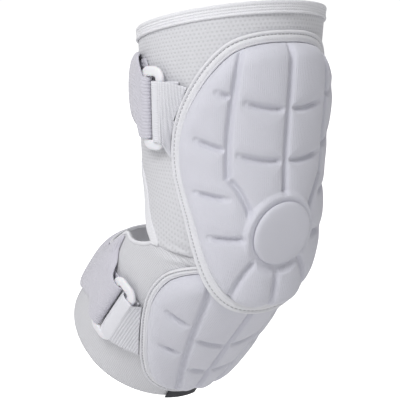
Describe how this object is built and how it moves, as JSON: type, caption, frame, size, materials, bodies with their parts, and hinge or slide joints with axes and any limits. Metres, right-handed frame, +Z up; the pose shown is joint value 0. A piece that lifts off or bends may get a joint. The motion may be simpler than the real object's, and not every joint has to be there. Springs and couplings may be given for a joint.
{
  "type": "baseball elbow guard",
  "caption": "Padded elbow guard: a bent mesh sleeve open at the crook, a grooved upper pad and lower pad on the outer side, and a folded strap with a flat ring above and below the elbow.",
  "frame": {"origin": "centre of the arm's hollow where the elbow's bend begins, where the worn guard is held by the arm", "axes": "+Z up along the upper arm, +X out past the elbow's point and the pads, -X the crook, +Y across, away from the rings"},
  "size_m": [0.2033, 0.1214, 0.2628],
  "materials": {
    "mesh_fabric": "matt",
    "pad_fabric": "matt",
    "binding_tape": "matt",
    "strap_fabric": "matt",
    "elastic_webbing": "matt",
    "ring_plastic": "satin",
    "badge_plastic": "satin",
    "label_fabric": "matt"
  },
  "bodies": {
    "root": {"sleeve": "mesh_fabric", "upper_hem": "binding_tape", "crook_hem": "binding_tape", "upper_pad": "pad_fabric", "upper_pad_binding": "binding_tape", "elbow_badge": "badge_plastic", "lower_pad": "pad_fabric", "lower_pad_binding": "binding_tape", "upper_strap": "strap_fabric", "upper_webbing": "elastic_webbing", "upper_ring": "ring_plastic", "lower_strap": "strap_fabric", "lower_webbing": "elastic_webbing", "lower_ring": "ring_plastic", "rim_label": "label_fabric"}
  },
  "joints": []
}
